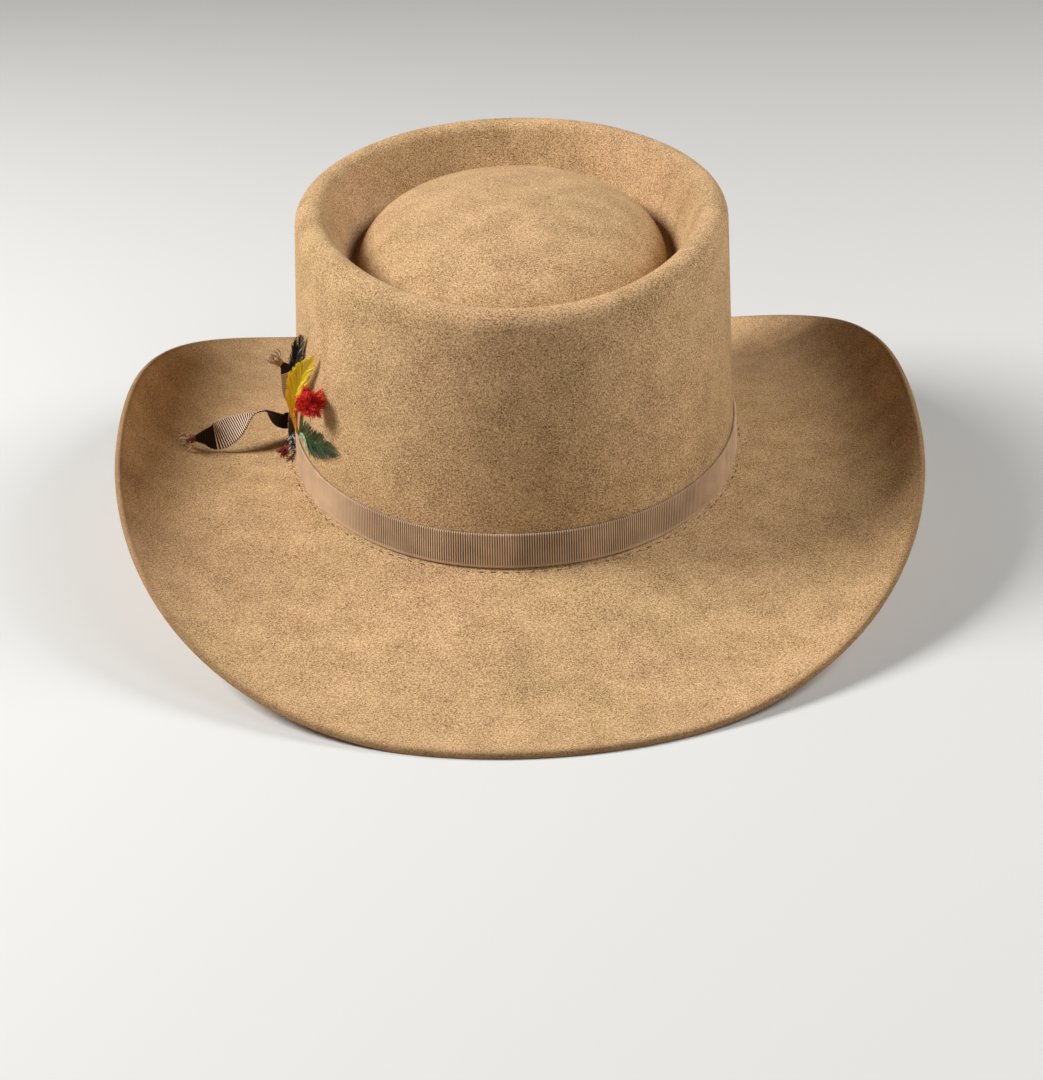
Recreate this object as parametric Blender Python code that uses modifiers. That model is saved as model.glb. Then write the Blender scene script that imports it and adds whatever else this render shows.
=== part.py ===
# Bush hat of fur felt: telescope crown, curled brim, ribbed ribbon with two tails, and a bunch of feathers.
# Metres, +Z up. The hat lies on the back and front ends of its brim, with its origin on the floor below its middle.
# Its back faces -Y, its right side +X, and the ribbon is knotted on its left side, at -X.
import math
import random

import bmesh
import bpy
from mathutils import Vector

# Head hollow, inside the felt at the base of the crown
HEAD_WIDTH = 0.164
HEAD_LENGTH = 0.203
OVAL_POWER = 2.1
FELT = 0.0024
GAP = 0.0003

# Crown, its heights taken on the felt's inner face above the break of the brim at the sides
CROWN_HEIGHT = 0.096
CREST_DROP_BACK = 0.0096
CREST_RISE_FRONT = 0.0029
CROWN_TAPER = 0.0048
CROWN_LEAN = 0.0018
ROLL_RADIUS = 0.0036
ROLL_TURN = 160
GROOVE_RUN = 0.0148
GROOVE_DEPTH = 0.024
GROOVE_RADIUS = 0.004
GROOVE_FOLLOW = 0.35
DOME_RISE = 0.0257
DOME_FOOT_PITCH = 62

# Brim, measured along the felt from the break
BRIM_WIDTH = 0.0907
BREAK_RADIUS = 0.004
BREAK_DIP_BACK = 0.0050
BREAK_DIP_FRONT = 0.0089
DIP_SPREAD = 1.6
RIM_BEND = 1.7
RIGHT_FRONT_EASE = 8.4
EASE_FROM = -0.3
PRESS = 0.0018
# One end or side of the brim: share of the width, pitch at the break, pitch at the rim, spread of the side's curl
BRIM_BACK = dict(width=1.0, start=-23.3, rim=-1.0, spread=3.25)
BRIM_SIDE = dict(width=0.869, start=-7.8, rim=70.2)
BRIM_FRONT = dict(width=0.934, start=-21.3, rim=-1.0, spread=2.27)

# Steps of the loft
AROUND = 64
BRIM_STEPS = 9
BREAK_STEPS = 3
WALL_STEPS = 3
ROLL_STEPS = 5
GROOVE_STEPS = 4
DOME_STEPS = 6

# Leather inside and ribbon outside, their lower edges by height above the break
SWEATBAND_LOW = 0.002
SWEATBAND_WIDTH = 0.034
SWEATBAND = 0.0012
RIBBON_LOW = 0.0034
RIBBON_WIDTH = 0.0124
RIBBON = 0.0010

# Knot of the ribbon, placed by its turn from the left side towards the back
KNOT_TURN = -3.0
KNOT_LENGTH = 0.0085
KNOT_DEPTH = 0.0022
KNOT_WIDTH = 0.0090
KNOT_EDGE = 0.0007

# Tails of the ribbon; out, back and up as shares of a tail's length, width as a share of the ribbon's
TAIL = 0.0007
STRIP_STEPS = 3
LONG_TAIL = 0.038
LONG_TAIL_ROWS = (
    dict(out=0.00, back=0.00, up=0.010, width=0.58, twist=82),
    dict(out=0.08, back=0.01, up=0.022, width=0.62, twist=70),
    dict(out=0.19, back=0.03, up=0.120, width=0.72, twist=27),
    dict(out=0.31, back=0.06, up=0.120, width=0.82, twist=20),
    dict(out=0.44, back=0.09, up=0.040, width=0.84, twist=-12),
    dict(out=0.58, back=0.13, up=-0.045, width=0.88, twist=-50),
    dict(out=0.72, back=0.17, up=-0.105, width=0.86, twist=-70),
    dict(out=0.83, back=0.21, up=-0.100, width=0.50, twist=-84),
    dict(out=0.95, back=0.25, up=-0.105, width=0.12, twist=-96),
)
SHORT_TAIL = 0.022
SHORT_TAIL_ROWS = (
    dict(out=0.00, back=0.00, up=0.00, width=0.40, twist=0),
    dict(out=0.02, back=-0.01, up=0.20, width=0.42, twist=60),
    dict(out=0.04, back=-0.02, up=0.42, width=0.46, twist=88),
    dict(out=0.05, back=-0.03, up=0.66, width=0.48, twist=92),
    dict(out=0.11, back=-0.04, up=0.80, width=0.32, twist=92),
    dict(out=0.20, back=-0.04, up=0.88, width=0.10, twist=90),
)

# Feathers, from the ribbon's upper edge; rise, half width and the spine's stand off the crown as shares of the length
# Turn from the left side, and tilt of the vane's front edge off the crown, in degrees
VANE = 0.0008
VANE_NOTCH = 0.22
YELLOW_FEATHER = 0.048
YELLOW_ROWS = (
    dict(turn=10.0, rise=0.00, half=0.025, out=0.000, tilt=20),
    dict(turn=12.5, rise=0.16, half=0.055, out=0.028, tilt=30),
    dict(turn=16.0, rise=0.34, half=0.080, out=0.042, tilt=34),
    dict(turn=19.8, rise=0.52, half=0.098, out=0.052, tilt=34),
    dict(turn=23.8, rise=0.70, half=0.095, out=0.052, tilt=34),
    dict(turn=27.5, rise=0.85, half=0.060, out=0.038, tilt=32),
    dict(turn=29.5, rise=0.94, half=0.020, out=0.024, tilt=30),
)
BLACK_FEATHER = 0.050
BLACK_ROWS = (
    dict(turn=5.5, rise=0.00, half=0.020, out=0.000, tilt=20),
    dict(turn=8.0, rise=0.20, half=0.040, out=0.018, tilt=30),
    dict(turn=11.5, rise=0.43, half=0.052, out=0.024, tilt=34),
    dict(turn=15.5, rise=0.65, half=0.060, out=0.028, tilt=34),
    dict(turn=19.0, rise=0.84, half=0.056, out=0.024, tilt=30),
    dict(turn=21.5, rise=0.95, half=0.020, out=0.016, tilt=30),
)
GREEN_FEATHER = 0.045
GREEN_ROWS = (
    dict(turn=12.5, rise=0.02, half=0.02, out=0, tilt=0),
    dict(turn=17.0, rise=0.14, half=0.07, out=0, tilt=0),
    dict(turn=23.0, rise=0.19, half=0.11, out=0, tilt=0),
    dict(turn=29.6, rise=0.25, half=0.12, out=0, tilt=0),
    dict(turn=35.0, rise=0.29, half=0.08, out=0, tilt=0),
    dict(turn=39.0, rise=0.31, half=0.02, out=0, tilt=0),
)
BARRED_FEATHER = 0.013
BARRED_ROWS = (
    dict(turn=5.5, rise=-0.10, half=0.05, out=0, tilt=0),
    dict(turn=6.5, rise=-0.35, half=0.14, out=0, tilt=0),
    dict(turn=8.0, rise=-0.60, half=0.14, out=0, tilt=0),
    dict(turn=9.5, rise=-0.82, half=0.05, out=0, tilt=0),
)

# Tufts of hackle in locks, by radius, turn and height above the break
LOCK_REACH = 0.30
HACKLE_RADIUS = 0.0042
HACKLE_TURN = 32.5
HACKLE_RISE = 0.0465
RED_TIP_RADIUS = 0.0020
RED_TIP_TURN = 5.2
RED_TIP_OUT = 0.0055


def power(value, exponent):
    """The value's size to a power, with its sign kept."""
    return math.copysign(abs(value) ** exponent, value)


def oval(angle, inset=0.0):
    """A point of the head oval moved in by an inset, and the level direction out of it."""
    half_width, half_length = HEAD_WIDTH / 2, HEAD_LENGTH / 2
    x = half_width * power(math.cos(angle), 2 / OVAL_POWER)
    y = half_length * power(math.sin(angle), 2 / OVAL_POWER)
    slope_x = power(x / half_width, OVAL_POWER - 1) / half_width
    slope_y = power(y / half_length, OVAL_POWER - 1) / half_length
    out = Vector((slope_x, slope_y, 0)).normalized()
    return Vector((x, y, 0)) - out * inset, out


def by_end(angle, back, front, spread=2.0):
    """A value that is 0 at the sides and grows to its own size at the back and at the front."""
    side = math.sin(angle)
    return (back if side < 0 else front) * abs(side) ** spread


def break_height(angle):
    """Height of the felt's inner face at the break, which dips at the back and the front."""
    return -by_end(angle, BREAK_DIP_BACK, BREAK_DIP_FRONT, DIP_SPREAD)


def crest_height(angle):
    return CROWN_HEIGHT + by_end(angle, -CREST_DROP_BACK, CREST_RISE_FRONT)


def groove_height(angle):
    follow = GROOVE_FOLLOW * by_end(angle, -CREST_DROP_BACK, CREST_RISE_FRONT)
    return CROWN_HEIGHT - GROOVE_DEPTH + follow


def wall_point(angle, height, out=0.0):
    """A point on the crown's inner face at a height above the break, or proud of it by out."""
    foot = break_height(angle) + BREAK_RADIUS
    top = crest_height(angle) - ROLL_RADIUS
    z = break_height(angle) + height
    share = (z - foot) / (top - foot)
    point, _ = oval(angle, CROWN_TAPER * share - out)
    return point + Vector((CROWN_LEAN * share, 0, z))


def brim_profile(angle):
    """The brim's inner face at one angle, from the foot of the wall out to the rim."""
    end = BRIM_BACK if math.sin(angle) < 0 else BRIM_FRONT
    side_share = abs(math.cos(angle)) ** end["spread"]
    start = end["start"] + (BRIM_SIDE["start"] - end["start"]) * side_share
    ease = RIGHT_FRONT_EASE * math.copysign(1, math.cos(angle)) * max(0, math.sin(angle) - EASE_FROM)
    side_rim = BRIM_SIDE["rim"] - ease
    rim = end["rim"] + (side_rim - end["rim"]) * side_share
    level = math.sin(angle) ** 2
    width = BRIM_WIDTH * (end["width"] * level + BRIM_SIDE["width"] * (1 - level))
    base, out = oval(angle)
    reach, z = 0.0, break_height(angle) + BREAK_RADIUS
    points = [base + Vector((0, 0, z))]
    turn = math.radians(90 + start)
    chord = 2 * BREAK_RADIUS * math.sin(turn / BREAK_STEPS / 2)
    for step in range(BREAK_STEPS):
        heading = -math.pi / 2 + turn * (step + 0.5) / BREAK_STEPS
        reach += chord * math.cos(heading)
        z += chord * math.sin(heading)
        points.append(base + out * reach + Vector((0, 0, z)))
    stride = (width - BREAK_RADIUS) / BRIM_STEPS
    for step in range(BRIM_STEPS):
        share = ((step + 0.5) / BRIM_STEPS) ** RIM_BEND
        heading = math.radians(start + (rim - start) * share)
        reach += stride * math.cos(heading)
        z += stride * math.sin(heading)
        points.append(base + out * reach + Vector((0, 0, z)))
    return points


def crown_profile(angle):
    """The crown's inner face at one angle, from above the foot of the wall to the dome's last ring."""
    points = []
    foot = break_height(angle) + BREAK_RADIUS
    crest = crest_height(angle)
    for step in range(1, WALL_STEPS + 1):
        rise = BREAK_RADIUS + (crest - ROLL_RADIUS - foot) * step / WALL_STEPS
        points.append(wall_point(angle, rise))
    lean = Vector((CROWN_LEAN, 0, 0))
    for step in range(1, ROLL_STEPS + 1):
        turned = math.radians(180 - ROLL_TURN * step / ROLL_STEPS)
        inset = CROWN_TAPER + ROLL_RADIUS * (1 + math.cos(turned))
        point, _ = oval(angle, inset)
        points.append(point + lean + Vector((0, 0, crest - ROLL_RADIUS + ROLL_RADIUS * math.sin(turned))))
    down = math.radians(ROLL_TURN - 90)
    up = math.radians(DOME_FOOT_PITCH)
    floor = groove_height(angle)
    for step in range(GROOVE_STEPS + 1):
        heading = -down + (down + up) * step / GROOVE_STEPS
        inset = CROWN_TAPER + GROOVE_RUN + GROOVE_RADIUS * (math.sin(down) + math.sin(heading))
        point, _ = oval(angle, inset)
        points.append(point + lean + Vector((0, 0, floor + GROOVE_RADIUS * (1 - math.cos(heading)))))
    foot_point = points[-1] - lean
    top = CROWN_HEIGHT - GROOVE_DEPTH + DOME_RISE
    for step in range(1, DOME_STEPS):
        turned = math.pi / 2 * step / DOME_STEPS
        flat = Vector((foot_point.x, foot_point.y, 0)) * math.cos(turned)
        z = foot_point.z + (top - foot_point.z) * math.sin(turned)
        points.append(flat + lean + Vector((0, 0, z)))
    return points


ANGLES = [2 * math.pi * step / AROUND for step in range(AROUND)]


def felt_rings():
    """Rings of the felt's inner face from the rim of the brim to the dome, before it is set on the floor."""
    profiles = [brim_profile(angle)[::-1] + crown_profile(angle) for angle in ANGLES]
    return [list(ring) for ring in zip(*profiles)]


def middle(values):
    values = list(values)
    return (min(values) + max(values)) / 2


FELT_RINGS = felt_rings()
# Height of the break above the floor, with the lowest felt pressed flat
LIFT = -min(point.z for ring in FELT_RINGS for point in ring) - PRESS
CENTRE = Vector((middle(p.x for p in FELT_RINGS[0]), middle(p.y for p in FELT_RINGS[0]), -LIFT))


def placed(point):
    """A point of the hat moved to where the brim lies on the floor, about the origin."""
    moved = point - CENTRE
    return Vector((moved.x, moved.y, max(0.0, moved.z)))


def hat_collection():
    for old in list(bpy.data.objects):
        bpy.data.objects.remove(old, do_unlink=True)
    collection = bpy.data.collections.new("bush_hat")
    bpy.context.scene.collection.children.link(collection)
    return collection


HAT = hat_collection()
SHARP_ANGLE = 50


def material(name, colour, roughness, metallic=0.0):
    made = bpy.data.materials.new(name)
    made.use_nodes = True
    shader = made.node_tree.nodes["Principled BSDF"]
    shader.inputs["Base Color"].default_value = (*colour, 1)
    shader.inputs["Roughness"].default_value = roughness
    shader.inputs["Metallic"].default_value = metallic
    return made


def add_object(name, bm, finish):
    mesh = bpy.data.meshes.new(name)
    bm.to_mesh(mesh)
    bm.free()
    mesh.materials.append(finish)
    mesh.shade_smooth()
    mesh.set_sharp_from_angle(angle=math.radians(SHARP_ANGLE))
    made = bpy.data.objects.new(name, mesh)
    HAT.objects.link(made)
    return made


def shell(name, rings, wall, finish, pole=None, outwards=1):
    """A sheet through rings of points, closed at an optional pole, with a wall on one side of it."""
    bm = bmesh.new()
    rows = [[bm.verts.new(point) for point in ring] for ring in rings]
    count = len(rows[0])
    for low, high in zip(rows, rows[1:]):
        for step in range(count):
            after = (step + 1) % count
            bm.faces.new((low[step], low[after], high[after], high[step]))
    if pole is not None:
        tip = bm.verts.new(pole)
        for step in range(count):
            bm.faces.new((rows[-1][step], rows[-1][(step + 1) % count], tip))
    made = add_object(name, bm, finish)
    solidify = made.modifiers.new("wall", "SOLIDIFY")
    solidify.thickness = wall
    solidify.offset = outwards
    solidify.use_even_offset = True
    return made


def loft(name, sections, finish):
    """A closed body through sections of equal point counts, its twisted faces split into triangles."""
    bm = bmesh.new()
    rows = [[bm.verts.new(point) for point in section] for section in sections]
    count = len(rows[0])
    for near, far in zip(rows, rows[1:]):
        for step in range(count):
            after = (step + 1) % count
            bm.faces.new((near[step], near[after], far[after], far[step]))
    bm.faces.new(rows[0][::-1])
    bm.faces.new(rows[-1])
    bmesh.ops.recalc_face_normals(bm, faces=bm.faces)
    bmesh.ops.triangulate(bm, faces=bm.faces)
    return add_object(name, bm, finish)


def make_felt_body():
    finish = material("felt", (0.45, 0.30, 0.15), 0.95)
    rings = [[placed(point) for point in ring] for ring in FELT_RINGS]
    top = CROWN_HEIGHT - GROOVE_DEPTH + DOME_RISE
    pole = placed(Vector((CROWN_LEAN, 0, top)))
    shell("felt_body", rings, FELT, finish, pole)


def strip_rings(low, high, out):
    """Two rings round the crown's wall, at heights above the break."""
    return [[placed(wall_point(angle, height, out)) for angle in ANGLES] for height in (low, high)]


def make_sweatband():
    finish = material("leather", (0.16, 0.09, 0.05), 0.55)
    rings = strip_rings(SWEATBAND_LOW, SWEATBAND_LOW + SWEATBAND_WIDTH, -GAP)
    shell("sweatband", rings, SWEATBAND, finish, outwards=-1)


def make_hat_band():
    finish = material("grosgrain", (0.27, 0.17, 0.11), 0.75)
    rings = strip_rings(RIBBON_LOW, RIBBON_LOW + RIBBON_WIDTH, FELT + GAP)
    shell("hat_band", rings, RIBBON, finish)


# Clear of the ribbon's face, from the crown's outer face
OVER_RIBBON = GAP + RIBBON + GAP


def on_side(turn, height, out):
    """A point on the crown's left side with the directions out of it, back along it and up it."""
    angle = math.pi + math.radians(turn)
    _, level_out = oval(angle)
    up = (wall_point(angle, height + RIBBON_WIDTH) - wall_point(angle, height - RIBBON_WIDTH)).normalized()
    back = up.cross(level_out).normalized()
    outwards = back.cross(up)
    return placed(wall_point(angle, height, FELT)) + outwards * out, outwards, back, up


def make_ribbon_knot():
    finish = material("knot_grosgrain", (0.06, 0.03, 0.02), 0.75)
    out = OVER_RIBBON + KNOT_DEPTH / 2
    point, outwards, back, up = on_side(KNOT_TURN, RIBBON_LOW + RIBBON_WIDTH / 2, out)
    bm = bmesh.new()
    bmesh.ops.create_cube(bm, size=1)
    for vertex in bm.verts:
        share = vertex.co.copy()
        vertex.co = (point + outwards * share.x * KNOT_DEPTH + back * share.y * KNOT_LENGTH
                     + up * share.z * KNOT_WIDTH)
    made = add_object("ribbon_knot", bm, finish)
    bevel = made.modifiers.new("soft edges", "BEVEL")
    bevel.width = KNOT_EDGE
    bevel.segments = 2


def between(before, start, end, after, share):
    """A smooth value between start and end, led by the values before and after them."""
    rise = (end - before) / 2
    fall = (after - start) / 2
    s2, s3 = share ** 2, share ** 3
    return (start * (2 * s3 - 3 * s2 + 1) + rise * (s3 - 2 * s2 + share)
            + end * (3 * s2 - 2 * s3) + fall * (s3 - s2))


def eased(rows, steps):
    """The rows of a table with smooth ones between them."""
    made = []
    for step in range(len(rows) - 1):
        four = [rows[min(max(step + shift, 0), len(rows) - 1)] for shift in (-1, 0, 1, 2)]
        for part in range(steps):
            made.append({key: between(*(row[key] for row in four), part / steps) for key in rows[0]})
    return made + [rows[-1]]


def tangents(points):
    last = len(points) - 1
    return [(points[min(step + 1, last)] - points[max(step - 1, 0)]).normalized() for step in range(last + 1)]


def make_tail(name, rows, length, start, frame, finish):
    """A twisted strip of the ribbon from a start point on the knot."""
    outwards, back, up = frame
    rows = eased(rows, STRIP_STEPS)
    spine = [start + (outwards * row["out"] + back * row["back"] + up * row["up"]) * length for row in rows]
    sections = []
    for row, point, along in zip(rows, spine, tangents(spine)):
        twist = math.radians(row["twist"])
        level = (back - along * back.dot(along)).normalized()
        side = level * math.cos(twist) + along.cross(level) * math.sin(twist)
        side = side * RIBBON_WIDTH * row["width"] / 2
        face = along.cross(side).normalized() * TAIL / 2
        sections.append([point - side - face, point + side - face, point + side + face, point - side + face])
    loft(name, sections, finish)


def make_tails():
    finish = material("tail_grosgrain", (0.12, 0.06, 0.04), 0.75)
    height = RIBBON_LOW + RIBBON_WIDTH / 2
    face = OVER_RIBBON + KNOT_DEPTH
    start, outwards, back, up = on_side(KNOT_TURN, height, face + GAP)
    make_tail("tail_long", LONG_TAIL_ROWS, LONG_TAIL, start, (outwards, back, up), finish)
    height += KNOT_WIDTH / 2 + GAP
    start, outwards, back, up = on_side(KNOT_TURN, height, face - KNOT_DEPTH / 2)
    make_tail("tail_short", SHORT_TAIL_ROWS, SHORT_TAIL, start, (outwards, back, up), finish)


def make_feather(name, rows, length, out, colour):
    """A thin blade along the crown or standing a little off it, its edges notched into locks."""
    foot = RIBBON_LOW + RIBBON_WIDTH + GAP
    rows = eased(rows, STRIP_STEPS)
    frames = [on_side(row["turn"], foot + row["rise"] * length, out + VANE / 2 + row["out"] * length) for row in rows]
    spine = [point for point, _, _, _ in frames]
    sections = []
    for step, (row, frame, along) in enumerate(zip(rows, frames, tangents(spine))):
        point, outwards, _, _ = frame
        tilt = math.radians(row["tilt"])
        across = outwards.cross(along).normalized()
        side = across * math.cos(tilt) + along.cross(across).normalized() * math.sin(tilt)
        side *= row["half"] * length * (1 - VANE_NOTCH * (step % 2))
        face = along.cross(side).normalized() * VANE / 2
        sections.append([point - side, point - side / 2 - face, point + side / 2 - face,
                         point + side, point + side / 2 + face, point - side / 2 + face])
    loft(name, sections, material(name, colour, 0.7))


def make_feathers():
    make_feather("black_feather", BLACK_ROWS, BLACK_FEATHER, GAP, (0.01, 0.01, 0.015))
    make_feather("green_feather", GREEN_ROWS, GREEN_FEATHER, GAP, (0.05, 0.16, 0.06))
    make_feather("yellow_feather", YELLOW_ROWS, YELLOW_FEATHER, GAP, (0.75, 0.50, 0.01))
    make_feather("barred_feather", BARRED_ROWS, BARRED_FEATHER, OVER_RIBBON, (0.05, 0.05, 0.06))


def make_tuft(name, turn, height, out, radius, colour, seed):
    """A ball of hackle whose locks stand out of it."""
    point, _, _, _ = on_side(turn, height, out)
    draw = random.Random(seed)
    bm = bmesh.new()
    bmesh.ops.create_icosphere(bm, subdivisions=2, radius=radius)
    for vertex in bm.verts:
        reach = 1 + LOCK_REACH * draw.choice((0, 0.5, 1))
        vertex.co = point + vertex.co * reach
    add_object(name, bm, material(name, colour, 0.8))


def make_tufts():
    reach = 1 + LOCK_REACH
    out = GAP + HACKLE_RADIUS * reach
    make_tuft("red_hackle", HACKLE_TURN, HACKLE_RISE, out, HACKLE_RADIUS, (0.40, 0.01, 0.01), 3)
    radius = RED_TIP_RADIUS
    height = FELT + GAP + radius
    make_tuft("red_tip", RED_TIP_TURN, height, RED_TIP_OUT, radius, (0.35, 0.02, 0.03), 5)


make_felt_body()
make_sweatband()
make_hat_band()
make_ribbon_knot()
make_tails()
make_feathers()
make_tufts()
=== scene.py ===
# Bush hat of fur felt: its finish, ribbon, feathers, light and camera.
# Metres, +Z up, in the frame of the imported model. The hat's back faces -Y and its left side -X.
import math
import random

import bpy
import numpy as np
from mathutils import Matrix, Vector, noise


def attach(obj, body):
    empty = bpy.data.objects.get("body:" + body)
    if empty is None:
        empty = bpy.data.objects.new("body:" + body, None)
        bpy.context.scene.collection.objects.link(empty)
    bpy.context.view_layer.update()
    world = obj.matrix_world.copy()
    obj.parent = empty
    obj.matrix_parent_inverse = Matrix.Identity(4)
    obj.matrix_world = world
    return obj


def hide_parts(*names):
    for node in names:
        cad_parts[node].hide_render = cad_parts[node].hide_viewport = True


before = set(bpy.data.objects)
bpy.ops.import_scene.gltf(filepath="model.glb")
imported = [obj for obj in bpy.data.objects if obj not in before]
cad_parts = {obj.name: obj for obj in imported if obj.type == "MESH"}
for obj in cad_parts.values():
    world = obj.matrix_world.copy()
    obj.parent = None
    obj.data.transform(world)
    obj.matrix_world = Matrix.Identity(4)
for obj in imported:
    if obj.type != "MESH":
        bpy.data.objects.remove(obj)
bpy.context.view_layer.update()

# Camera. It stands behind the hat, a little to its left, and looks down on it.
# The lens gives the photo's perspective on a 36 mm sensor with no shift.
CAMERA_PLACE = Vector((-0.0288, -0.7107, 0.3501))
CAMERA_AIM = Vector((-0.0060, -0.1502, 0.0600))
CAMERA_ROLL = -2.37
LENS = 66.67

camera_data = bpy.data.cameras.new("camera")
camera_data.lens = LENS
camera_data.sensor_width = 36
camera = bpy.data.objects.new("camera", camera_data)
bpy.context.scene.collection.objects.link(camera)
camera.location = CAMERA_PLACE
camera.rotation_euler = (CAMERA_AIM - CAMERA_PLACE).to_track_quat("-Z", "Y").to_euler()
camera.rotation_euler.rotate_axis("Z", math.radians(CAMERA_ROLL))
bpy.context.scene.camera = camera
bpy.context.scene.view_settings.view_transform = "Standard"

# Felt crown and brim. One body of fur felt, blocked over a form and brushed to a short nap.
# Made as a sheet through the hat's own profile at each angle, given the felt's thickness by Solidify.
HEAD_WIDTH = 0.164
HEAD_LENGTH = 0.203
OVAL_POWER = 2.1
FELT = 0.0024
GAP = 0.0003
CROWN_HEIGHT = 0.096
CREST_DROP_BACK = 0.0096
CREST_RISE_FRONT = 0.0029
CROWN_TAPER = 0.0048
CROWN_LEAN = 0.0018
ROLL_RADIUS = 0.0036
ROLL_TURN = 160
GROOVE_RUN = 0.0148
GROOVE_DEPTH = 0.024
GROOVE_RADIUS = 0.004
GROOVE_FOLLOW = 0.35
DOME_RISE = 0.0257
DOME_TOP = CROWN_HEIGHT - GROOVE_DEPTH + DOME_RISE
DOME_FOOT_PITCH = 62
BRIM_WIDTH = 0.0907
BREAK_RADIUS = 0.004
BREAK_DIP_BACK = 0.0050
BREAK_DIP_FRONT = 0.0089
DIP_SPREAD = 1.6
RIM_BEND = 1.7
RIGHT_FRONT_EASE = 8.4
EASE_FROM = -0.3
PRESS = 0.0018
BRIM_BACK = dict(width=1.0, start=-23.3, rim=-1.0, spread=3.25)
BRIM_SIDE = dict(width=0.869, start=-7.8, rim=70.2)
BRIM_FRONT = dict(width=0.934, start=-21.3, rim=-1.0, spread=2.27)
AROUND = 192
BRIM_STEPS = 36
BREAK_STEPS = 6
WALL_STEPS = 16
ROLL_STEPS = 12
GROOVE_STEPS = 10
DOME_STEPS = 18
WAVE_SIZE = 0.035
WAVE_HEIGHT = 0.00018
RIM_ROUNDING = 0.0007
RIM_WEAR = 0.0012
RIM_WEAR_TONE = 0.6
CUT_EDGE_ANGLE = 50
TUFT_SIZE = 0.0005
TUFT_HEIGHT = 0.0004
PATCH_SIZE = 0.012
PATCH_TONE = 0.2
DRIFT_SIZE = 0.045


def signed_power(value, exponent):
    return np.sign(value) * np.abs(value) ** exponent


def unit(vectors):
    return vectors / np.linalg.norm(vectors, axis=-1, keepdims=True)


def oval(angles, inset):
    """Points of the head oval moved in by an inset, and the level directions out of it."""
    half = np.array((HEAD_WIDTH / 2, HEAD_LENGTH / 2, 1))
    compass = np.stack((np.cos(angles), np.sin(angles), np.zeros_like(angles)), axis=-1)
    edge = half * signed_power(compass, 2 / OVAL_POWER)
    out = unit(signed_power(edge / half, OVAL_POWER - 1) / half)
    return edge - out * np.asarray(inset)[..., None], out


def by_end(angles, back, front, spread=2.0):
    """A value that is 0 at the sides and grows to its own size at the back and at the front."""
    return np.where(np.sin(angles) < 0, back, front) * np.abs(np.sin(angles)) ** spread


def break_height(angles):
    return -by_end(angles, BREAK_DIP_BACK, BREAK_DIP_FRONT, DIP_SPREAD)


def crest_height(angles):
    return CROWN_HEIGHT + by_end(angles, -CREST_DROP_BACK, CREST_RISE_FRONT)


def raised(points, height):
    lifted = np.array(points)
    lifted[..., 2] += height
    return lifted


def wall_points(angles, height, out=0.0):
    """Points on the crown's inner face at a height above the break, or proud of it by out."""
    foot = break_height(angles) + BREAK_RADIUS
    z = break_height(angles) + height
    share = (z - foot) / (crest_height(angles) - ROLL_RADIUS - foot)
    points = raised(oval(angles, CROWN_TAPER * share - out)[0], z)
    points[..., 0] += CROWN_LEAN * share
    return points


def brim_rows(angles):
    """Rows of the brim's inner face, from the foot of the wall out to the rim."""
    end = {key: np.where(np.sin(angles) < 0, BRIM_BACK[key], BRIM_FRONT[key]) for key in BRIM_BACK}
    side_share = np.abs(np.cos(angles)) ** end["spread"]
    start = end["start"] + (BRIM_SIDE["start"] - end["start"]) * side_share
    ease = RIGHT_FRONT_EASE * np.sign(np.cos(angles)) * np.maximum(0, np.sin(angles) - EASE_FROM)
    rim = end["rim"] + (BRIM_SIDE["rim"] - ease - end["rim"]) * side_share
    level = np.sin(angles) ** 2
    width = BRIM_WIDTH * (end["width"] * level + BRIM_SIDE["width"] * (1 - level))
    base, out = oval(angles, 0.0)
    reach, z = np.zeros_like(angles), break_height(angles) + BREAK_RADIUS
    rows = [raised(base, z)]
    turn = np.radians(90 + start)
    chord = 2 * BREAK_RADIUS * np.sin(turn / BREAK_STEPS / 2)
    strides = [(chord, turn * (step + 0.5) / BREAK_STEPS - math.pi / 2) for step in range(BREAK_STEPS)]
    for step in range(BRIM_STEPS):
        share = ((step + 0.5) / BRIM_STEPS) ** RIM_BEND
        strides.append(((width - BREAK_RADIUS) / BRIM_STEPS, np.radians(start + (rim - start) * share)))
    for stride, heading in strides:
        reach = reach + stride * np.cos(heading)
        z = z + stride * np.sin(heading)
        rows.append(raised(base + out * reach[:, None], z))
    return rows


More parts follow.
